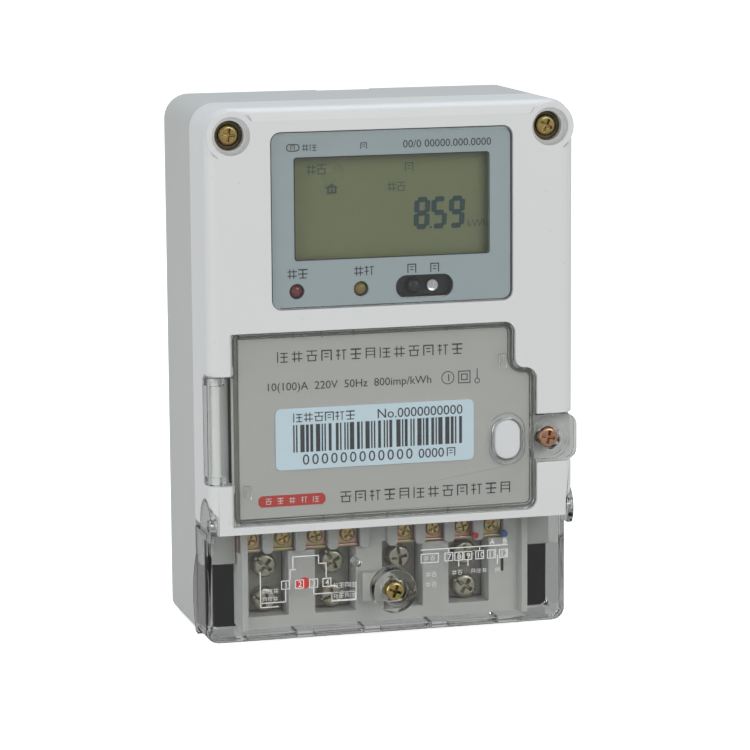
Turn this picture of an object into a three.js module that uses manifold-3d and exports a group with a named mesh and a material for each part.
// A wall-hung single-phase prepaid electricity meter, in millimetres, +Z up, front towards -Y.
// Inside this file z is counted from the meter's bottom edge and y from its back face; the last
// lines move the whole group so that the origin is the centre of the back face.
import * as THREE from "three";
import { mergeVertices } from "three/addons/utils/BufferGeometryUtils.js";
import Module from "manifold-3d";

const wasm = await Module();
wasm.setup();

// ---- Driving dimensions -------------------------------------------------------------------

const WIDTH = 112; // body, side to side
const HEIGHT = 160; // bottom to top
const DEPTH = 58; // back face to front face
const COVER_DEPTH = 22.5; // front cover, front face to the seam
const WALL = 2.4; // case and cover shells
const BACK_WALL = 2.5;
const TOP_CORNER = 7.5; // corner radius at the top of both shells
const BOTTOM_CORNER = 3.5; // corner radius at the bottom
const FRONT_EDGE = 4; // rounding between the front face and its sides
const TERMINAL_ZONE = 34.5; // height of the part that the terminal cover closes

const SEAT_GAP = 0.1; // between pieces that are fixed together
const FIT_GAP = 0.35; // between pieces that slide or swing past each other
const SEAM_GAP = 0.3;

// Front cover screws, in deep recesses at the top corners
const SCREW_INSET_X = 7.7;
const SCREW_INSET_Z = 8.1;
const SCREW_BOSS_R = 7.4;
const SCREW_RECESS_R = 5.6;
const SCREW_RECESS_DEPTH = 2.6;
const SCREW_WELL_R = 4.4;
const SCREW_WELL_DEPTH = 6.4;
const SCREW_HEAD_R = 3;
const SCREW_HEAD_HEIGHT = 2.4;
const SCREW_SHANK_R = 1.6;
const SCREW_POST_R = 4;

// Display
const LENS_SIDE_MARGIN = 19.5; // cover's side to the lens
const LENS_TOP_MARGIN = 7.6;
const LENS_HEIGHT = 51.5;
const LENS_CORNER = 2.8;
const LENS_THICK = 1.2;
const PANEL_THICK = 1;
const LEDGE_WIDTH = 1.8; // the cover's ledge that carries the display panel
const LEDGE_THICK = 1.5;
const LCD_SIDE_MARGIN = 6.9; // lens edge to the window in the panel
const LCD_TOP_MARGIN = 7.4;
const LCD_WINDOW_HEIGHT = 30;
const LCD_BORDER = 2; // glass hidden behind the panel
const LCD_THICK = 2.2;
const BACKLIGHT_THICK = 3;
const LAMP_ROW = 5; // lens bottom edge to the row of lamps
const LAMP_SIDE_MARGIN = 7.4; // lens side to the first and the last place in the row
const LED_R = 2.1;
const INFRARED_WINDOW = [17.7, 6.9];
const INFRARED_R = 2.4;
const INFRARED_PITCH = 5.6;

// Nameplate door, in a pocket of the front cover
const DOOR_LEFT_MARGIN = 7.7; // cover's side to the door's panel
const DOOR_RIGHT_MARGIN = 12.1;
const DOOR_STEP = 6.8; // how much narrower the door is above its shoulder
const DOOR_BOTTOM_MARGIN = 2.7; // cover's lower edge to the door
const DOOR_TOP_MARGIN = 7.1; // door to the lens
const DOOR_SHOULDER = 0.2474; // share of the door's height above the shoulder
const SHOULDER_R = 3.3;
const DOOR_CORNER = 3;
const DOOR_HINGE_CORNER = 1.4; // corner radius beside the hinge
const DOOR_THICK = 1.4;
const DOOR_RIM = 1.2;
const DOOR_RIM_DEPTH = 3;
const POCKET_FLOOR_THICK = 2;
const POCKET_WALL = 1.6;
const NAMEPLATE_THICK = 0.5;
const LABEL_SIZE = [60.8, 18.3];
const LABEL_THICK = 0.25;
const LABEL_SHIFT = [-3.2, -3.5]; // from the middle of the nameplate
const HINGE_INSET = 12.4; // door's top and bottom edges to the knuckle
const HINGE_AXIS_INSET = 2.6; // cover's side to the hinge axis
const HINGE_AXIS_DEPTH = 3.6; // front face to the hinge axis
const HINGE_PIN_R = 1.2;
const KNUCKLE_PROUD = 0.8; // how far the knuckle and the lobe stand out of the cover's sides
const KNUCKLE_REACH = 7.2; // hinge axis to the knuckle's joint with the door
const KNUCKLE_END = 2.3;
const KNUCKLE_BACK = 2; // how far the knuckle reaches behind the hinge axis
const HINGE_CHEEK = 2.6; // cover left of the notch that holds each end of the pin
const LOBE_SHARE = 0.3286; // lobe's height in the door's height below the shoulder
const LOBE_CORNER = 3.4;
const LOBE_THICK = 5;
const SEAL_SCREW_FROM_SIDE = 8;
const SEAL_HEAD_R = 3.1;
const SEAL_HEAD_HEIGHT = 3;
const SEAL_SHANK_R = 1.4;
const SEAL_ENGAGED = 1.2; // length of a sealing screw's tip inside its insert
const INSERT_R = 2.6;
const INSERT_LENGTH = 3.6;

// Scroll button and its switch
const BUTTON_SIZE = [8.2, 12];
const BUTTON_FROM_DOOR_SIDE = 8.7;
const BUTTON_COLLAR = [11, 15.4];
const BUTTON_RECESS = 0.6; // button face behind the front face
const BUTTON_FLANGE = 1.2;
const BUTTON_TRAVEL = 1;
const SWITCH_SIZE = [6, 3, 6];
const PLUNGER_R = 1.4;

// Terminal cover
const TERMINAL_COVER_SETBACK = 7; // behind the front face
const CLEAR_WALL = 2.2;
const CLEAR_EDGE = 3;
const EAR_R = 7.6;
const EAR_GAP = 0.45;
const EAR_THICK = 1.8;
const EAR_CENTRE = [7.8, 2]; // from the front face and from the terminal zone's top
const PIVOT_DEPTH = 4; // front face to the pivot axis
const PIVOT_RISE = 2.5; // terminal zone's top to the pivot axis
const PIVOT_R = 1.4;
const SIDE_LUG = [26, 4.4]; // rounded lug on each side of the cover, length and reach
const SIDE_LUG_HEIGHT = 11.5; // its middle above the bottom edge
const COLLAR_R = 6.7;
const COLLAR_BORE_R = 4.2;
const COLLAR_STANDS = 5; // in front of the terminal cover
const COVER_SCREW = [0.5, 14]; // from the middle and from the bottom
const COVER_SCREW_HEAD_R = 2.9;
const COVER_SCREW_HEAD_HEIGHT = 5.5;
const COVER_SCREW_SHANK_R = 1.4;

// Terminal block
const BLOCK_SIDE_MARGIN = 11.4;
const BLOCK_BOTTOM = 2.8;
const BLOCK_TOP_GAP = 0.8; // below the terminal zone's top
const BLOCK_SETBACK = 7; // behind the terminal cover's face
const BLOCK_POST = [2, 2.8]; // upright rib at each side of the block, width and height
const FIRST_WELL = 8.6; // block's side to the first well's middle
const LAST_WELL = 17.9; // the last well's middle to the block's other side
const WELLS = 4;
const WELL_WIDTH = 12.6;
const WELL_HEIGHT = 20.6;
const WELL_BOTTOM = 6.5;
const CAGE_SETBACK = 7.5; // cage behind the block's face
const CAGE_DEPTH = 17;
const CABLE_BORE_R = 4.2;
const CLAMP_SCREW_R = 3.7;
const CLAMP_SCREW_HEIGHT = 4;
const CLAMP_SHANK_R = 2.3;
const CLAMP_SCREW_HEIGHTS = [4.2, 14.6]; // above the well's bottom
const TAIL = [8, 1.5, 19]; // blade from each cage into the case
const AUX_HEIGHT = 27.2; // above the block's bottom
const AUX_LEFT_START = 3.4;
const AUX_RIGHT_END = 10.6;
const AUX_MIDDLE = 17.6; // gap between the left four and the right four
const AUX_SPREAD = 1.1; // spacing of the left four over that of the right four
const AUX_BARRIER = 2.6; // material between two pockets and their clamp plates
const AUX_SCREW_R = 2.4;
const AUX_POCKET_GAP = 0.5;

// Rear case
const MOUNT_HOLE_R = 2.75;
const MOUNT_HOLE_HEIGHT = 12;
const FLANGE_BOTTOM = 22.3; // grey block above each mounting pocket
const HOOK_SIZE = [16, 2, 22];
const HOOK_TRAVEL = 9;

// ---- Derived planes ------------------------------------------------------------------------

const front = -DEPTH;
const seam = front + COVER_DEPTH;
const halfWidth = WIDTH / 2;
const partitionTop = TERMINAL_ZONE + 2;
const coverBack = seam - SEAM_GAP;
const coverInside = front + WALL;
const terminalFace = front + TERMINAL_COVER_SETBACK;
const blockFace = terminalFace + BLOCK_SETBACK;
const blockHalf = halfWidth - BLOCK_SIDE_MARGIN;
const blockTop = TERMINAL_ZONE - BLOCK_TOP_GAP;

const lens = {
  half: halfWidth - LENS_SIDE_MARGIN,
  top: HEIGHT - LENS_TOP_MARGIN,
  bottom: HEIGHT - LENS_TOP_MARGIN - LENS_HEIGHT,
};
const panelFront = front + LENS_THICK + SEAT_GAP;
const panelBack = panelFront + PANEL_THICK;
const ledgeFront = panelBack + SEAT_GAP;
const ledgeBack = ledgeFront + LEDGE_THICK;
const lcdFront = ledgeBack + 0.3;
const boardFront = lcdFront + LCD_THICK + BACKLIGHT_THICK + 3.5;
const boardBack = boardFront + 1.6;

const door = {
  left: -halfWidth + DOOR_LEFT_MARGIN,
  right: halfWidth - DOOR_RIGHT_MARGIN,
  bottom: TERMINAL_ZONE + DOOR_BOTTOM_MARGIN,
  top: lens.bottom - DOOR_TOP_MARGIN,
};
door.shoulder = door.top - DOOR_SHOULDER * (door.top - door.bottom);
door.step = door.right - DOOR_STEP;
const lobeCentre = (door.bottom + door.shoulder) / 2;
const lobeHeight = LOBE_SHARE * (door.shoulder - door.bottom);
const pocketFloor = front + DOOR_RIM_DEPTH + FIT_GAP;
const pocketBack = pocketFloor + POCKET_FLOOR_THICK;

const hinge = {
  x: -halfWidth + HINGE_AXIS_INSET,
  y: front + HINGE_AXIS_DEPTH,
  bottom: door.bottom + HINGE_INSET,
  top: door.top - HINGE_INSET,
};
const hingeFloor = hinge.y + 4.7;
const seal = { x: halfWidth - SEAL_SCREW_FROM_SIDE, z: lobeCentre };
const lobeBack = front + LOBE_THICK;
const lobeFloor = lobeBack + FIT_GAP;
const button = { x: door.right - BUTTON_FROM_DOOR_SIDE, z: lobeCentre };

const pivot = { y: front + PIVOT_DEPTH, z: TERMINAL_ZONE + PIVOT_RISE };
const ear = { y: front + EAR_CENTRE[0], z: TERMINAL_ZONE + EAR_CENTRE[1] };
const earInside = halfWidth - EAR_THICK;
const notchInside = earInside - EAR_GAP;

const wellPitch = (2 * blockHalf - FIRST_WELL - LAST_WELL) / (WELLS - 1);
const cageFront = blockFace + CAGE_SETBACK;
const auxHeight = BLOCK_BOTTOM + AUX_HEIGHT;
const auxSpace = 2 * blockHalf - AUX_LEFT_START - AUX_RIGHT_END - AUX_MIDDLE;
const auxRightPitch = auxSpace / (3 * (1 + AUX_SPREAD));
const auxLeftPitch = auxRightPitch * AUX_SPREAD;
const auxWidth = auxRightPitch - AUX_BARRIER;

// ---- Solids --------------------------------------------------------------------------------

function solid(geometry) {
  const shape = geometry.index ? geometry : geometry.clone();
  shape.deleteAttribute("normal");
  shape.deleteAttribute("uv");
  const merged = mergeVertices(shape, 1e-4);
  const mesh = new wasm.Mesh({
    numProp: 3,
    vertProperties: new Float32Array(merged.attributes.position.array),
    triVerts: new Uint32Array(merged.index.array),
  });
  return new wasm.Manifold(mesh);
}

function block(x0, x1, y0, y1, z0, z1) {
  const box = new THREE.BoxGeometry(Math.abs(x1 - x0), Math.abs(y1 - y0), Math.abs(z1 - z0));
  return solid(box.translate((x0 + x1) / 2, (y0 + y1) / 2, (z0 + z1) / 2));
}

// Round bars along each axis
function rodY(x, z, radius, y0, y1, sides = 20) {
  const bar = new THREE.CylinderGeometry(radius, radius, Math.abs(y1 - y0), sides);
  return solid(bar.translate(x, (y0 + y1) / 2, z));
}

function rodZ(x, y, radius, z0, z1, sides = 16) {
  const bar = new THREE.CylinderGeometry(radius, radius, Math.abs(z1 - z0), sides);
  return solid(bar.rotateX(Math.PI / 2).translate(x, y, (z0 + z1) / 2));
}

function rodX(y, z, radius, x0, x1, sides = 20) {
  const bar = new THREE.CylinderGeometry(radius, radius, Math.abs(x1 - x0), sides);
  return solid(bar.rotateZ(Math.PI / 2).translate((x0 + x1) / 2, y, z));
}

// An outline in the XZ plane, extruded from yBack towards the front
function slab(outline, yBack, yFront, curveSegments = 5) {
  const depth = yBack - yFront;
  const plate = new THREE.ExtrudeGeometry(outline, { depth, bevelEnabled: false, curveSegments });
  return solid(plate.rotateX(Math.PI / 2).translate(0, yBack, 0));
}

// The same with its front edge rounded; the outline is the widest section
function domedSlab(outline, yBack, yFront, radius, curveSegments = 5) {
  const plate = new THREE.ExtrudeGeometry(outline, {
    depth: yBack - yFront,
    bevelEnabled: true,
    bevelThickness: radius,
    bevelSize: radius,
    bevelOffset: -radius,
    bevelSegments: 4,
    curveSegments,
  });
  const rounded = solid(plate.rotateX(Math.PI / 2).translate(0, yBack + radius, 0));
  const far = 2 * (WIDTH + HEIGHT);
  return rounded.subtract(block(-far, far, yBack, yBack + far, -far, far));
}

// A rectangle with its own radius at each corner: top left, top right, bottom right, bottom left
function roundedRect(x0, x1, z0, z1, radii) {
  const [tl, tr, br, bl] = radii.map((r) => Math.min(r, (x1 - x0) / 2.1, (z1 - z0) / 2.1));
  const s = new THREE.Shape();
  s.moveTo(x0 + bl, z0);
  s.lineTo(x1 - br, z0);
  s.absarc(x1 - br, z0 + br, br, -Math.PI / 2, 0, false);
  s.lineTo(x1, z1 - tr);
  s.absarc(x1 - tr, z1 - tr, tr, 0, Math.PI / 2, false);
  s.lineTo(x0 + tl, z1);
  s.absarc(x0 + tl, z1 - tl, tl, Math.PI / 2, Math.PI, false);
  s.lineTo(x0, z0 + bl);
  s.absarc(x0 + bl, z0 + bl, bl, Math.PI, 1.5 * Math.PI, false);
  return s;
}

function evenRect(x0, x1, z0, z1, radius) {
  return roundedRect(x0, x1, z0, z1, [radius, radius, radius, radius]);
}

function stadium(x, z, [width, height]) {
  const radius = Math.min(width, height) / 2 - 0.01;
  return evenRect(x - width / 2, x + width / 2, z - height / 2, z + height / 2, radius);
}

function cross(radius, y0, y1) {
  const arm = radius * 0.6;
  const thin = radius * 0.16;
  return block(-arm, arm, y0, y1, -thin, thin).add(block(-thin, thin, y0, y1, -arm, arm));
}

// A screw along Y with its head's face at y = 0 and its tip towards the back
function screw(headR, headHeight, shankR, length) {
  return rodY(0, 0, headR, 0, headHeight, 14)
    .add(rodY(0, 0, shankR, headHeight / 2, length, 8))
    .subtract(cross(headR, -1, headHeight * 0.45));
}

// ---- Scene helpers -------------------------------------------------------------------------

const meter = new THREE.Group();
const body = new THREE.Group();
body.position.z = -HEIGHT / 2;
meter.add(body);

const CLEAR = { color: 0xe6eaea, roughness: 0.08, metalness: 0, transparent: true, opacity: 0.35 };
const WHITE = { color: 0xd6d6d3, roughness: 0.45, metalness: 0 };
const GREY_CASE = { color: 0xb4b5af, roughness: 0.5, metalness: 0 };
const GREY_BLOCK = { color: 0x969796, roughness: 0.55, metalness: 0 };
const ZINC = { color: 0xb09a58, roughness: 0.3, metalness: 1 };
const BRASS = { color: 0xb98f45, roughness: 0.35, metalness: 1 };
const STEEL = { color: 0x9c9fa3, roughness: 0.35, metalness: 1 };

function place(name, shape, finish, at = [0, 0, 0]) {
  const made = shape.getMesh();
  const geometry = new THREE.BufferGeometry();
  geometry.setAttribute("position", new THREE.BufferAttribute(made.vertProperties, 3));
  geometry.setIndex(new THREE.BufferAttribute(made.triVerts, 1));
  geometry.computeVertexNormals();
  const mesh = new THREE.Mesh(geometry, new THREE.MeshStandardMaterial(finish));
  mesh.name = name;
  mesh.position.set(...at);
  body.add(mesh);
}

// ---- Outlines that several pieces share ----------------------------------------------------

// The door's panel, larger than the door by `grow` all round: a rectangle with a shoulder at its
// upper right, where a hollow curve runs into a round one.
function doorOutline(grow) {
  const left = door.left - grow;
  const right = door.right + grow;
  const step = door.step + grow;
  const bottom = door.bottom - grow;
  const top = door.top + grow;
  const corner = DOOR_CORNER + grow;
  const small = Math.max(DOOR_HINGE_CORNER + grow, 0.4);
  const round = SHOULDER_R + grow;
  const hollow = SHOULDER_R - grow;
  const turn = door.shoulder + grow;
  const s = new THREE.Shape();
  s.moveTo(left + small, bottom);
  s.lineTo(right - corner, bottom);
  s.absarc(right - corner, bottom + corner, corner, -Math.PI / 2, 0, false);
  s.lineTo(right, turn - round);
  s.absarc(right - round, turn - round, round, 0, Math.PI / 2, false);
  s.lineTo(step + hollow, turn);
  s.absarc(step + hollow, turn + hollow, hollow, -Math.PI / 2, -Math.PI, true);
  s.lineTo(step, top - corner);
  s.absarc(step - corner, top - corner, corner, 0, Math.PI / 2, false);
  s.lineTo(left + small, top);
  s.absarc(left + small, top - small, small, Math.PI / 2, Math.PI, false);
  s.lineTo(left, bottom + small);
  s.absarc(left + small, bottom + small, small, Math.PI, 1.5 * Math.PI, false);
  return s;
}

const SIDES = [
  ["left", -1],
  ["right", 1],
];
const coverScrewX = halfWidth - SCREW_INSET_X;
const coverScrewZ = HEIGHT - SCREW_INSET_Z;

// ---- Rear case -----------------------------------------------------------------------------

function sideLug(side, grow) {
  const [length, reach] = SIDE_LUG;
  const radius = (reach * reach + (length / 2) ** 2) / (2 * reach);
  const x0 = side * (halfWidth - CLEAR_WALL - grow);
  const x1 = side * (halfWidth + 0.01 + grow);
  const disc = rodX(seam + reach - radius, SIDE_LUG_HEIGHT, radius + grow, x0, x1, 64);
  const behindSeam = block(-WIDTH, WIDTH, coverBack - 1, 0, 0.5 - grow, TERMINAL_ZONE - 4);
  return disc.intersect(behindSeam);
}

function rearCase() {
  const corners = [TOP_CORNER, TOP_CORNER, BOTTOM_CORNER, BOTTOM_CORNER];
  const outer = roundedRect(-halfWidth, halfWidth, 0, HEIGHT, corners);
  const inner = roundedRect(
    -halfWidth + WALL,
    halfWidth - WALL,
    WALL,
    HEIGHT - WALL,
    corners.map((r) => Math.max(r - WALL, 0.5)),
  );
  let shell = slab(outer, 0, seam).subtract(slab(inner, -BACK_WALL, seam - 1));
  const partition = block(
    -halfWidth + WALL / 2,
    halfWidth - WALL / 2,
    -BACK_WALL / 2,
    seam,
    TERMINAL_ZONE,
    partitionTop,
  );
  const tailSlot = block(-blockHalf + 2, blockHalf - 2, tailY + 3, tailY - 4, 0, HEIGHT / 2);
  shell = shell.add(partition.subtract(tailSlot));
  shell = shell.subtract(
    block(
      -blockHalf - FIT_GAP,
      blockHalf + FIT_GAP,
      -BACK_WALL - 1,
      seam - 1,
      -1,
      BLOCK_BOTTOM + 1,
    ),
  );
  for (const [, side] of SIDES) {
    const flangeOuter = side * (halfWidth - CLEAR_WALL - FIT_GAP);
    const flangeInner = side * (blockHalf + FIT_GAP);
    shell = shell
      .add(block(flangeInner, flangeOuter, -1, seam, FLANGE_BOTTOM, TERMINAL_ZONE + 1))
      .add(block(flangeInner, flangeOuter, -1, seam - 5, FLANGE_BOTTOM, blockTop - 2))
      .subtract(sideLug(side, FIT_GAP))
      .subtract(
        rodY(side * (blockHalf + halfWidth - WALL) * 0.5, MOUNT_HOLE_HEIGHT, MOUNT_HOLE_R, 1, -5),
      )
      .add(rodY(side * coverScrewX, coverScrewZ, SCREW_POST_R, -1, screwPostTop, 16))
      .subtract(rodY(side * coverScrewX, coverScrewZ, SCREW_SHANK_R + SEAT_GAP, -8, seam - 20, 10));
  }
  const [hookWidth, hookThick, hookHeight] = HOOK_SIZE;
  const hookTrack = block(
    -hookWidth / 2 - FIT_GAP,
    hookWidth / 2 + FIT_GAP,
    1,
    -hookThick - 2 * FIT_GAP,
    HEIGHT - hookHeight - HOOK_TRAVEL,
    HEIGHT + 1,
  );
  const trackBacking = block(
    -hookWidth / 2 - 3,
    hookWidth / 2 + 3,
    -1,
    -hookThick - 2 * FIT_GAP - 2,
    HEIGHT - hookHeight - HOOK_TRAVEL - 2,
    HEIGHT - 1,
  );
  return shell.add(trackBacking).subtract(hookTrack);
}

const tailY = cageFront + CAGE_DEPTH / 2;
const screwHeadFace = front + SCREW_WELL_DEPTH - SCREW_HEAD_HEIGHT - SEAT_GAP;
const screwPostTop = front + SCREW_WELL_DEPTH + WALL + SEAT_GAP;

place("rear_case", rearCase(), GREY_CASE);

// ---- Front cover ---------------------------------------------------------------------------

// The cover's outline runs on below its lower edge, so that only its top and sides are rounded
function frontShell() {
  const round = (grow, foot, y0, y1, edge) => {
    const x = halfWidth - grow;
    const top = HEIGHT - grow;
    const corner = TOP_CORNER - grow;
    const dome = evenRect(-x, x, foot - 30, top, corner);
    return domedSlab(dome, y0, y1, edge).intersect(slab(evenRect(-x, x, foot, top, 2), y0, y1));
  };
  let shell = round(0, TERMINAL_ZONE, coverBack, front, FRONT_EDGE);
  for (const [, side] of SIDES) {
    shell = shell.add(rodY(side * coverScrewX, coverScrewZ, SCREW_BOSS_R, coverBack, front, 32));
  }
  const hollow = round(WALL, partitionTop, coverBack + 1, coverInside, FRONT_EDGE - WALL + 0.6);
  return shell.subtract(hollow);
}

function screwRecesses(shell) {
  let made = shell;
  const wellFloor = front + SCREW_WELL_DEPTH;
  for (const [, side] of SIDES) {
    const x = side * coverScrewX;
    made = made
      .add(rodY(x, coverScrewZ, SCREW_RECESS_R + 1.2, front + 1, wellFloor + WALL, 24))
      .subtract(rodY(x, coverScrewZ, SCREW_RECESS_R, front - 1, front + SCREW_RECESS_DEPTH, 28))
      .subtract(rodY(x, coverScrewZ, SCREW_WELL_R, front - 1, wellFloor, 24))
      .subtract(rodY(x, coverScrewZ, SCREW_SHANK_R + FIT_GAP, front, 0, 12));
  }
  return made;
}

function displayOpening(shell) {
  const { half, top, bottom } = lens;
  const grow = SEAT_GAP + 0.15;
  const opening = evenRect(
    -half - grow,
    half + grow,
    bottom - grow,
    top + grow,
    LENS_CORNER + grow,
  );
  const ledge = evenRect(-half - 2, half + 2, bottom - 2, top + 2, LENS_CORNER + 2);
  const through = evenRect(
    -half + LEDGE_WIDTH,
    half - LEDGE_WIDTH,
    bottom + LEDGE_WIDTH,
    top - LEDGE_WIDTH,
    LENS_CORNER - 1,
  );
  return shell
    .add(slab(ledge, ledgeBack, front + 1, 4))
    .subtract(slab(opening, ledgeFront, front - 1, 4))
    .subtract(slab(through, 0, front - 1, 4));
}

// The pocket's left wall is a bead round the hinge axis, so that the door's edge swings past it
function doorPocket(shell) {
  const { x, y } = hinge;
  const z0 = door.bottom - FIT_GAP;
  const z1 = door.top + FIT_GAP;
  const edge = Math.hypot(door.left - x, y - front - DOOR_THICK);
  const sweep = block(x + 3, door.left + DOOR_CORNER, pocketFloor, front - 1, z0, z1);
  return shell
    .add(slab(doorOutline(FIT_GAP + POCKET_WALL), pocketBack, front + 1))
    .subtract(slab(doorOutline(FIT_GAP), pocketFloor, front - 1))
    .subtract(sweep.subtract(rodZ(x, y, edge - FIT_GAP, z0 - 1, z1 + 1, 48)));
}

function hingeNotch(shell) {
  const right = door.left - FIT_GAP + 0.05;
  const { x, y, bottom, top } = hinge;
  const floor = hingeFloor;
  const z0 = bottom - FIT_GAP;
  const z1 = top + FIT_GAP;
  const cheeks = block(
    -halfWidth + 1,
    right,
    floor + WALL,
    front + FRONT_EDGE / 2,
    z0 - HINGE_CHEEK,
    z1 + HINGE_CHEEK,
  );
  return shell
    .add(cheeks)
    .subtract(block(-halfWidth - 5, right, floor, front - 5, z0, z1))
    .subtract(block(right - 1, right + 1, pocketFloor, front - 5, z0, z1))
    .subtract(rodZ(x, y, HINGE_PIN_R + SEAT_GAP, z0 - HINGE_CHEEK + 0.6, z1 + HINGE_CHEEK - 0.6));
}

function lobeNotch(shell) {
  const left = door.right + FIT_GAP;
  const z0 = lobeCentre - lobeHeight / 2 - FIT_GAP;
  const z1 = lobeCentre + lobeHeight / 2 + FIT_GAP;
  const housing = block(
    left,
    halfWidth - 1,
    lobeFloor + INSERT_LENGTH + 2,
    front + FRONT_EDGE / 2,
    z0 - POCKET_WALL,
    z1 + POCKET_WALL,
  );
  return shell
    .add(housing)
    .subtract(block(left - 1, halfWidth + 5, lobeFloor, front - 5, z0, z1))
    .subtract(rodY(seal.x, seal.z, INSERT_R + SEAT_GAP, lobeFloor - 1, lobeFloor + INSERT_LENGTH));
}

function earNotches(shell) {
  let made = shell;
  const radius = EAR_R + EAR_GAP;
  for (const [, side] of SIDES) {
    const wallInside = side * (notchInside - WALL);
    const backing = rodX(ear.y, ear.z, radius + 1.6, wallInside, side * (notchInside + 1), 28)
      .intersect(block(-WIDTH, WIDTH, coverBack, front + WALL, TERMINAL_ZONE, HEIGHT))
      .add(
        block(
          wallInside,
          side * (notchInside + 1),
          pivot.y + 4,
          front + FRONT_EDGE,
          TERMINAL_ZONE,
          pivot.z + 4,
        ),
      );
    const out = side * (halfWidth + 5);
    const pin = [pivot.y, pivot.z, PIVOT_R + SEAT_GAP];
    made = made
      .add(backing)
      .subtract(rodX(ear.y, ear.z, radius, side * notchInside, out, 36))
      .subtract(
        block(side * notchInside, out, ear.y - radius, ear.y + radius, TERMINAL_ZONE - 1, ear.z),
      )
      .subtract(rodX(...pin, wallInside, side * halfWidth, 12));
  }
  return made;
}

function frontCover() {
  const buttonHole = [BUTTON_SIZE[0] + 2 * FIT_GAP, BUTTON_SIZE[1] + 2 * FIT_GAP];
  let shell = screwRecesses(frontShell());
  shell = displayOpening(shell);
  shell = doorPocket(shell);
  shell = earNotches(shell);
  shell = hingeNotch(shell);
  shell = lobeNotch(shell);
  return shell.subtract(slab(stadium(button.x, button.z, buttonHole), 0, front - 1, 4));
}

place("front_cover", frontCover(), WHITE);

// Sealing ring on the rim of the rear case, led round the inner side of both screw bosses
function gasket() {
  const plan = (inset, bossR) => {
    const x = halfWidth - WALL - inset;
    const outline = evenRect(-x, x, partitionTop + inset, HEIGHT - WALL - inset, 4);
    return slab(outline, coverBack, coverBack - 2, 3)
      .subtract(rodY(coverScrewX, coverScrewZ, bossR, 0, front, 24))
      .subtract(rodY(-coverScrewX, coverScrewZ, bossR, 0, front, 24));
  };
  const bossR = SCREW_BOSS_R + FIT_GAP;
  return plan(FIT_GAP, bossR).subtract(plan(FIT_GAP + 1.4, bossR + 1.4));
}

place("cover_gasket", gasket(), { color: 0x2d2e30, roughness: 0.9, metalness: 0 });

const coverScrewLength = -screwHeadFace - 10;
for (const [name, side] of SIDES) {
  const made = screw(SCREW_HEAD_R, SCREW_HEAD_HEIGHT, SCREW_SHANK_R, coverScrewLength);
  place("cover_screw_" + name, made, ZINC, [side * coverScrewX, screwHeadFace, coverScrewZ]);
}

// ---- Display -------------------------------------------------------------------------------

const lcd = {
  left: -lens.half + LCD_SIDE_MARGIN,
  right: lens.half - LCD_SIDE_MARGIN,
  top: lens.top - LCD_TOP_MARGIN,
  bottom: lens.top - LCD_TOP_MARGIN - LCD_WINDOW_HEIGHT,
};
const lampZ = lens.bottom + LAMP_ROW;
const lampPitch = (2 * lens.half - 2 * LAMP_SIDE_MARGIN) / 3;
const lampX = (index) => -lens.half + LAMP_SIDE_MARGIN + index * lampPitch;

const lensOutline = (grow) =>
  evenRect(
    -lens.half - grow,
    lens.half + grow,
    lens.bottom - grow,
    lens.top + grow,
    LENS_CORNER + grow,
  );
place("display_lens", slab(lensOutline(0), front + LENS_THICK, front, 4), CLEAR);

function displayPanel() {
  const window = evenRect(lcd.left, lcd.right, lcd.bottom, lcd.top, 0.8);
  return slab(lensOutline(0), panelBack, panelFront, 4)
    .subtract(slab(window, 0, front, 2))
    .subtract(rodY(lampX(0), lampZ, LED_R + 0.2, 0, front, 16))
    .subtract(rodY(lampX(1), lampZ, LED_R + 0.2, 0, front, 16))
    .subtract(slab(stadium(lampX(2), lampZ, INFRARED_WINDOW), 0, front, 5));
}

place("display_panel", displayPanel(), { color: 0x949c9e, roughness: 0.35, metalness: 0 });

place(
  "lcd_glass",
  block(
    lcd.left - LCD_BORDER,
    lcd.right + LCD_BORDER,
    lcdFront,
    lcdFront + LCD_THICK,
    lcd.bottom - LCD_BORDER,
    lcd.top + LCD_BORDER,
  ),
  { color: 0x6c7458, roughness: 0.3, metalness: 0 },
);
place(
  "lcd_backlight",
  block(
    lcd.left - LCD_BORDER,
    lcd.right + LCD_BORDER,
    lcdFront + LCD_THICK + SEAT_GAP,
    lcdFront + LCD_THICK + SEAT_GAP + BACKLIGHT_THICK,
    lcd.bottom - LCD_BORDER,
    lcd.top + LCD_BORDER,
  ),
  { color: 0xe8e8e2, roughness: 0.6, metalness: 0 },
);

// A round lamp with a domed tip, standing on the main board
function lamp(radius) {
  const tip = panelFront + 0.1;
  const length = boardFront - SEAT_GAP - tip;
  const profile = [new THREE.Vector2(0, 0)];
  for (let i = 1; i <= 3; i++) {
    const angle = (i * Math.PI) / 6;
    profile.push(
      new THREE.Vector2(radius * Math.sin(angle), radius * 0.8 * (1 - Math.cos(angle))),
    );
  }
  profile.push(new THREE.Vector2(radius, length - 1));
  profile.push(new THREE.Vector2(radius * 1.18, length - 1));
  profile.push(new THREE.Vector2(radius * 1.18, length));
  profile.push(new THREE.Vector2(0, length));
  return solid(new THREE.LatheGeometry(profile, 14));
}

const lampStart = panelFront + 0.1;
const lamps = [
  ["pulse_led", LED_R, lampX(0), { color: 0x7c1a18, roughness: 0.15, metalness: 0 }],
  ["alarm_led", LED_R, lampX(1), { color: 0x8a6a1c, roughness: 0.15, metalness: 0 }],
  [
    "ir_receiver",
    INFRARED_R,
    lampX(2) - INFRARED_PITCH / 2,
    { color: 0x1a1a1d, roughness: 0.15, metalness: 0 },
  ],
  [
    "ir_emitter",
    INFRARED_R,
    lampX(2) + INFRARED_PITCH / 2,
    { color: 0xcfd2d4, roughness: 0.1, metalness: 0, transparent: true, opacity: 0.5 },
  ],
];
for (const [name, radius, x, finish] of lamps) {
  place(name, lamp(radius), finish, [x, lampStart, lampZ]);
}

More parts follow.
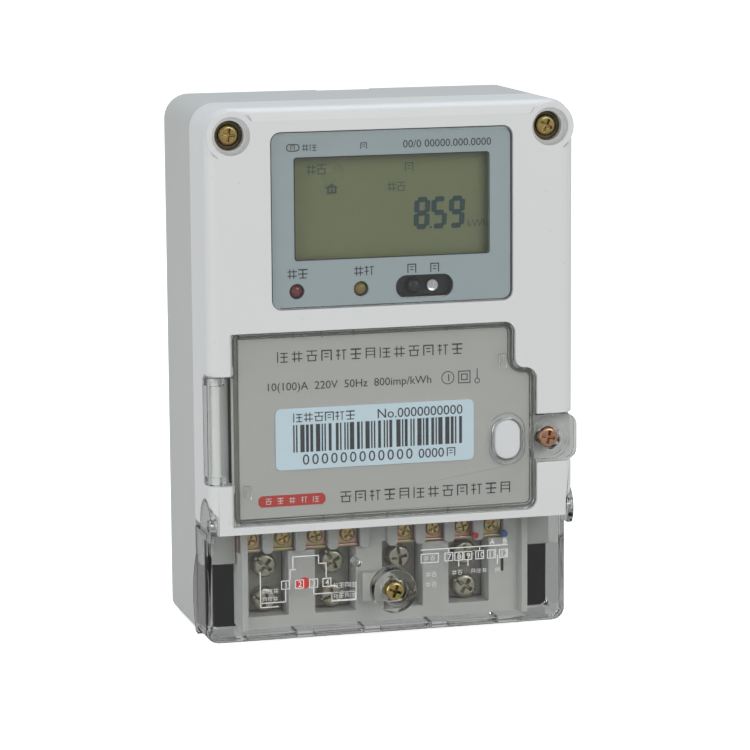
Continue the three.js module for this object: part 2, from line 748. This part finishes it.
// ---- Nameplate, door and button ------------------------------------------------------------

const plateBack = pocketFloor - SEAT_GAP;
const plateFront = plateBack - NAMEPLATE_THICK;
const buttonPassage = [BUTTON_COLLAR[0] + 2 * FIT_GAP, BUTTON_COLLAR[1] + 2 * FIT_GAP];

function nameplate() {
  return slab(doorOutline(-DOOR_RIM - FIT_GAP), plateBack, plateFront).subtract(
    slab(stadium(button.x, button.z, buttonPassage), 0, front, 4),
  );
}

place("nameplate", nameplate(), { color: 0xa0a19f, roughness: 0.4, metalness: 0 });

const labelX = (door.left + door.right) / 2 + LABEL_SHIFT[0];
const labelZ = (door.bottom + door.top) / 2 + LABEL_SHIFT[1];
place(
  "barcode_label",
  slab(
    evenRect(
      labelX - LABEL_SIZE[0] / 2,
      labelX + LABEL_SIZE[0] / 2,
      labelZ - LABEL_SIZE[1] / 2,
      labelZ + LABEL_SIZE[1] / 2,
      1.6,
    ),
    plateFront - SEAT_GAP,
    plateFront - SEAT_GAP - LABEL_THICK,
    3,
  ),
  { color: 0xb8d0de, roughness: 0.6, metalness: 0 },
);

// Half-round shell round the cover's left front corner, closed at both ends, with an arm to the
// door's panel
function knuckle() {
  const { x, y, bottom, top } = hinge;
  const left = -halfWidth - KNUCKLE_PROUD;
  const round = Math.min(x - left, y - front) - 0.05;
  const along = (wall, right, back, z0, z1) => {
    const s = new THREE.Shape();
    s.moveTo(right, front + wall);
    s.lineTo(right, back);
    s.lineTo(left + wall, back);
    s.lineTo(left + wall, front + round);
    s.absarc(left + round, front + round, round - wall, Math.PI, 1.5 * Math.PI, false);
    const bar = new THREE.ExtrudeGeometry(s, {
      depth: z1 - z0,
      bevelEnabled: false,
      curveSegments: 5,
    });
    return solid(bar.translate(0, 0, z0));
  };
  return along(0, x + 2.2, y + KNUCKLE_BACK, bottom, top)
    .add(block(x, x + KNUCKLE_REACH, front, front + DOOR_THICK, bottom, top))
    .subtract(along(DOOR_THICK, x + 3, y + 6, bottom + KNUCKLE_END, top - KNUCKLE_END))
    .subtract(rodZ(x, y, HINGE_PIN_R + 0.25, bottom - 1, top + 1, 14));
}

function nameplateDoor() {
  const plate = slab(doorOutline(0), front + DOOR_THICK, front);
  const hingeSide = block(-WIDTH, door.left + DOOR_RIM + 0.4, 0, front + DOOR_THICK, 0, HEIGHT);
  const rim = slab(doorOutline(0), front + DOOR_RIM_DEPTH, front)
    .subtract(slab(doorOutline(-DOOR_RIM), 0, front - 1))
    .subtract(hingeSide);
  const lobe = slab(
    roundedRect(
      door.right - DOOR_RIM,
      halfWidth + KNUCKLE_PROUD,
      lobeCentre - lobeHeight / 2,
      lobeCentre + lobeHeight / 2,
      [0.3, LOBE_CORNER, LOBE_CORNER, 0.3],
    ),
    lobeBack,
    front,
    4,
  ).subtract(
    block(door.left, door.right + 0.02, lobeBack + 1, front + DOOR_RIM_DEPTH, 0, HEIGHT),
  );
  const collar = slab(stadium(button.x, button.z, BUTTON_COLLAR), front + DOOR_RIM_DEPTH, front, 5);
  const hole = [BUTTON_SIZE[0] + 2 * FIT_GAP, BUTTON_SIZE[1] + 2 * FIT_GAP];
  return plate
    .add(rim)
    .add(lobe)
    .add(collar)
    .add(knuckle())
    .subtract(slab(stadium(button.x, button.z, hole), 0, front - 1, 5))
    .subtract(rodY(seal.x, seal.z, SEAL_HEAD_R + 0.5, front - 1, sealSeat, 20))
    .subtract(rodY(seal.x, seal.z, SEAL_SHANK_R + FIT_GAP, front, 0, 12));
}

const sealSeat = front + 3.4;
place("nameplate_door", nameplateDoor(), CLEAR);

place(
  "door_hinge_pin",
  rodZ(
    hinge.x,
    hinge.y,
    HINGE_PIN_R,
    hinge.bottom - FIT_GAP - HINGE_CHEEK + 0.8,
    hinge.top + FIT_GAP + HINGE_CHEEK - 0.8,
    14,
  ),
  WHITE,
);

// A threaded insert along Y, its mouth at y = 0, with a lead-in for the screw's tip
function insert(outerR, boreR, length) {
  const mouthR = Math.min(boreR + 0.8, (boreR + outerR) / 2);
  const profile = [
    [boreR, 0.6],
    [mouthR, 0],
    [outerR, 0],
    [outerR, length],
    [boreR, length],
    [boreR, 0.6],
  ];
  return solid(
    new THREE.LatheGeometry(
      profile.map(([r, y]) => new THREE.Vector2(r, y)),
      16,
    ),
  );
}

const insertSlack = SEAL_SHANK_R + FIT_GAP;
place("door_screw_insert", insert(INSERT_R, insertSlack, INSERT_LENGTH - SEAT_GAP), BRASS, [
  seal.x,
  lobeFloor + SEAT_GAP,
  seal.z,
]);
const sealFace = sealSeat - SEAT_GAP - SEAL_HEAD_HEIGHT;
place(
  "door_seal_screw",
  screw(SEAL_HEAD_R, SEAL_HEAD_HEIGHT, SEAL_SHANK_R, lobeFloor + SEAL_ENGAGED - sealFace),
  { color: 0xb08566, roughness: 0.3, metalness: 1 },
  [seal.x, sealFace, seal.z],
);

const buttonFace = front + BUTTON_RECESS;
const flangeFront = pocketBack + SEAT_GAP;
const switchFront = boardFront - SEAT_GAP - SWITCH_SIZE[1];
const stemBack = switchFront - BUTTON_TRAVEL - 1.3;

function scrollButton() {
  const flange = [BUTTON_SIZE[0] + 2.6, BUTTON_SIZE[1] + 2.6];
  const cap = slab(stadium(button.x, button.z, BUTTON_SIZE), flangeFront + 0.5, buttonFace, 5);
  return cap
    .add(slab(stadium(button.x, button.z, flange), flangeFront + BUTTON_FLANGE, flangeFront, 4))
    .add(rodY(button.x, button.z, 2, flangeFront, stemBack, 12));
}

place("scroll_button", scrollButton(), { color: 0xe4e4e2, roughness: 0.4, metalness: 0 });
place(
  "switch_plunger",
  rodY(button.x, button.z, PLUNGER_R, stemBack + SEAT_GAP, switchFront + 1, 12),
  { color: 0x232325, roughness: 0.5, metalness: 0 },
);

function tactSwitch() {
  const [width, depth, height] = SWITCH_SIZE;
  return block(
    button.x - width / 2,
    button.x + width / 2,
    switchFront,
    switchFront + depth,
    button.z - height / 2,
    button.z + height / 2,
  ).subtract(rodY(button.x, button.z, PLUNGER_R + FIT_GAP, switchFront - 1, switchFront + 2.4, 12));
}

place("tact_switch", tactSwitch(), { color: 0x303236, roughness: 0.5, metalness: 0 });

// ---- Electronics ---------------------------------------------------------------------------

const boardHalf = halfWidth - WALL - 5;
const boardTop = HEIGHT - WALL - 4;
const boardBottom = partitionTop + 6;

function mainBoard() {
  let made = block(-boardHalf, boardHalf, boardFront, boardBack, boardBottom, boardTop);
  for (const [, side] of SIDES) {
    const corner = block(
      side * (coverScrewX - SCREW_POST_R - 1.5),
      side * halfWidth,
      front,
      0,
      coverScrewZ - SCREW_POST_R - 1.5,
      HEIGHT,
    );
    made = made.subtract(corner);
  }
  const lobeClear = block(
    seal.x - INSERT_R - 2.4,
    halfWidth,
    front,
    0,
    seal.z - lobeHeight / 2 - 4,
    seal.z + lobeHeight / 2 + 4,
  );
  return made.subtract(lobeClear);
}

place("main_board", mainBoard(), { color: 0x2c6a45, roughness: 0.5, metalness: 0 });

const partsBack = -BACK_WALL - 3;
const partsFront = boardBack + 0.6;
const boardParts = [
  {
    name: "power_transformer",
    size: [32, 20, 28],
    x: -boardHalf + 20,
    z: boardTop - 25,
    finish: { color: 0x2b2b2d, roughness: 0.6, metalness: 0 },
  },
  {
    name: "latching_relay",
    size: [38, 22, 26],
    x: boardHalf - 26,
    z: boardBottom + 21,
    finish: { color: 0x20242c, roughness: 0.4, metalness: 0 },
  },
  {
    name: "current_shunt",
    size: [22, 3, 10],
    x: -boardHalf + 22,
    z: boardBottom + 14,
    finish: BRASS,
  },
];
for (const { name, size, x, z, finish } of boardParts) {
  const [w, d, h] = size;
  const deep = Math.min(d, partsBack - partsFront);
  const made = block(x - w / 2, x + w / 2, partsFront, partsFront + deep, z - h / 2, z + h / 2);
  place(name, made, finish);
}
place(
  "backup_battery",
  rodZ(
    boardHalf - 20,
    partsFront + 7.5,
    7,
    boardTop - 34,
    boardTop - 9,
    18,
  ),
  { color: 0x3b5f8c, roughness: 0.45, metalness: 0 },
);
place("varistor", rodY(-6, boardBottom + 34, 7, partsFront, partsFront + 4, 20), {
  color: 0x2a4f9b,
  roughness: 0.5,
  metalness: 0,
});

// ---- Terminal block ------------------------------------------------------------------------

const wellX = (index) => -blockHalf + FIRST_WELL + index * wellPitch;
const wellTop = WELL_BOTTOM + WELL_HEIGHT;
const cageHalf = WELL_WIDTH / 2 - 0.35;
const cageTop = wellTop - 0.4;
const cageBottom = WELL_BOTTOM + 0.3;
const auxX = (index) =>
  index < 4
    ? -blockHalf + AUX_LEFT_START + index * auxLeftPitch
    : blockHalf - AUX_RIGHT_END - (7 - index) * auxRightPitch;
const auxPocketFloor = blockFace + 4;
const auxScrewFace = blockFace + 0.4;
const insertAt = { x: COVER_SCREW[0], z: COVER_SCREW[1] };
const insertMouth = blockFace - 3;

function terminalBlock() {
  let made = block(-blockHalf, blockHalf, -BACK_WALL - 1.5, blockFace, BLOCK_BOTTOM, blockTop);
  const [postWidth, postHeight] = BLOCK_POST;
  for (const [, side] of SIDES) {
    const inner = side * (blockHalf - postWidth);
    made = made.add(
      block(inner, side * blockHalf, blockFace + 1, blockFace - postHeight, BLOCK_BOTTOM, blockTop),
    );
  }
  for (let i = 0; i < WELLS; i++) {
    const x = wellX(i);
    const back = cageFront + CAGE_DEPTH + 0.3;
    made = made
      .subtract(
        block(x - WELL_WIDTH / 2, x + WELL_WIDTH / 2, back, blockFace - 1, WELL_BOTTOM, wellTop),
      )
      .subtract(rodZ(x, tailY, CABLE_BORE_R + 0.4, BLOCK_BOTTOM - 1, WELL_BOTTOM + 1, 20))
      .subtract(
        block(
          x - TAIL[0] / 2 - 0.4,
          x + TAIL[0] / 2 + 0.4,
          tailY + TAIL[1],
          tailY - TAIL[1],
          wellTop - 1,
          blockTop + 1,
        ),
      );
  }
  for (let i = 0; i < 8; i++) {
    const half = auxWidth / 2 + AUX_POCKET_GAP;
    made = made
      .subtract(
        block(auxX(i) - half, auxX(i) + half, auxPocketFloor, blockFace - 1, auxHeight - 4, blockTop + 1),
      )
      .subtract(rodY(auxX(i), auxHeight, 1.4, auxPocketFloor - 1, auxPocketFloor + 5, 10));
  }
  // Raised boss that carries the terminal cover's insert
  const web = block(insertAt.x - 8, insertAt.x, blockFace + 1, insertMouth, 9.5, 18.5);
  return made
    .add(web)
    .add(rodY(insertAt.x, insertAt.z, INSERT_R + 1.2, blockFace + 1, insertMouth, 20))
    .subtract(rodY(insertAt.x, insertAt.z, INSERT_R - 0.3, blockFace + 2, insertMouth - 1, 16));
}

place("terminal_block", terminalBlock(), GREY_BLOCK);

for (let i = 0; i < WELLS; i++) {
  const x = wellX(i);
  const zs = CLAMP_SCREW_HEIGHTS.map((h) => WELL_BOTTOM + h);
  let cage = block(x - cageHalf, x + cageHalf, cageFront, cageFront + CAGE_DEPTH, cageBottom, cageTop)
    .add(
      block(
        x - TAIL[0] / 2,
        x + TAIL[0] / 2,
        tailY - TAIL[1] / 2,
        tailY + TAIL[1] / 2,
        cageTop - 1,
        cageTop + TAIL[2],
      ),
    )
    .subtract(rodZ(x, tailY, CABLE_BORE_R, cageBottom - 1, cageTop - 2, 20));
  for (const z of zs) {
    cage = cage.subtract(rodY(x, z, CLAMP_SHANK_R + SEAT_GAP, cageFront - 1, tailY, 12));
  }
  place("terminal_" + (i + 1), cage, BRASS);
  ["lower", "upper"].forEach((level, row) => {
    const face = cageFront - SEAT_GAP - CLAMP_SCREW_HEIGHT;
    const made = screw(
      CLAMP_SCREW_R,
      CLAMP_SCREW_HEIGHT,
      CLAMP_SHANK_R,
      CLAMP_SCREW_HEIGHT + 4,
    );
    place("terminal_" + (i + 1) + "_screw_" + level, made, ZINC, [x, face, zs[row]]);
  });
}

// Auxiliary screw with its captive clamp plate
function auxScrew() {
  const half = auxWidth / 2;
  return screw(AUX_SCREW_R, 2.4, 1.2, 7).add(block(-half, half, 1.2, 2.2, -3.4, 2.6));
}
for (let i = 0; i < 8; i++) {
  place("aux_screw_" + (i + 1), auxScrew(), ZINC, [auxX(i), auxScrewFace, auxHeight]);
}

const coverInsertLength = 3.6;
place(
  "terminal_cover_insert",
  insert(INSERT_R - 0.4, COVER_SCREW_SHANK_R + 0.25, coverInsertLength),
  BRASS,
  [insertAt.x, insertMouth + SEAT_GAP, insertAt.z],
);

// ---- Terminal cover ------------------------------------------------------------------------

function terminalCover() {
  const top = TERMINAL_ZONE - 0.7;
  const outer = evenRect(-halfWidth, halfWidth, 0, 2 * top, BOTTOM_CORNER + 0.5);
  const inside = halfWidth - CLEAR_WALL;
  const inner = evenRect(-inside, inside, CLEAR_WALL, 2 * top, 2);
  let made = domedSlab(outer, coverBack, terminalFace, CLEAR_EDGE)
    .intersect(block(-WIDTH, WIDTH, 1, front, -1, top))
    .subtract(slab(inner, 0, terminalFace + CLEAR_WALL, 3));
  for (const [, side] of SIDES) {
    const x0 = side * earInside;
    const x1 = side * halfWidth;
    const reach = [ear.y - EAR_R + 0.8, ear.y + EAR_R - 0.4];
    made = made
      .add(sideLug(side, 0).intersect(block(x0, x1, 0, coverBack - 1, 0, top)))
      .add(rodX(ear.y, ear.z, EAR_R, x0, x1, 32).intersect(block(x0, x1, 0, front + 0.2, top - 2, HEIGHT)))
      .add(block(x0, x1, terminalFace + 4, reach[1], top - 6, ear.z))
      .subtract(rodX(pivot.y, pivot.z, PIVOT_R + 0.3, x0 - side, x1 + side, 12));
  }
  const { x, z } = insertAt;
  const seat = terminalFace + CLEAR_WALL;
  return made
    .add(rodY(x, z, COLLAR_R, seat - 0.5, terminalFace - COLLAR_STANDS, 28))
    .subtract(rodY(x, z, COLLAR_BORE_R, seat - 1.6, front - 1, 20))
    .subtract(rodY(x, z, COVER_SCREW_SHANK_R + FIT_GAP, 0, front, 12));
}

place("terminal_cover", terminalCover(), CLEAR);

const coverSeat = terminalFace + CLEAR_WALL - 1.6;
const coverHeadFace = Math.max(coverSeat - SEAT_GAP - COVER_SCREW_HEAD_HEIGHT, front);
place(
  "terminal_cover_screw",
  screw(
    COVER_SCREW_HEAD_R,
    coverSeat - SEAT_GAP - coverHeadFace,
    COVER_SCREW_SHANK_R,
    insertMouth + SEAT_GAP + SEAL_ENGAGED - coverHeadFace,
  ),
  ZINC,
  [insertAt.x, coverHeadFace, insertAt.z],
);

for (const [name, side] of SIDES) {
  const inside = side * (notchInside - WALL + 0.3);
  const outside = side * (halfWidth - 0.4);
  place("cover_pivot_" + name, rodX(pivot.y, pivot.z, PIVOT_R, inside, outside, 12), STEEL);
}

// ---- Hanging hook --------------------------------------------------------------------------

function hangingHook() {
  const [width, thick, height] = HOOK_SIZE;
  const top = HEIGHT - 1;
  const plate = evenRect(-width / 2, width / 2, top - height, top, 2);
  return slab(plate, -FIT_GAP, -FIT_GAP - thick, 3).subtract(
    rodY(0, top - 7, 2.75, 1, -6, 16),
  );
}

place("hanging_hook", hangingHook(), STEEL);

export default meter;
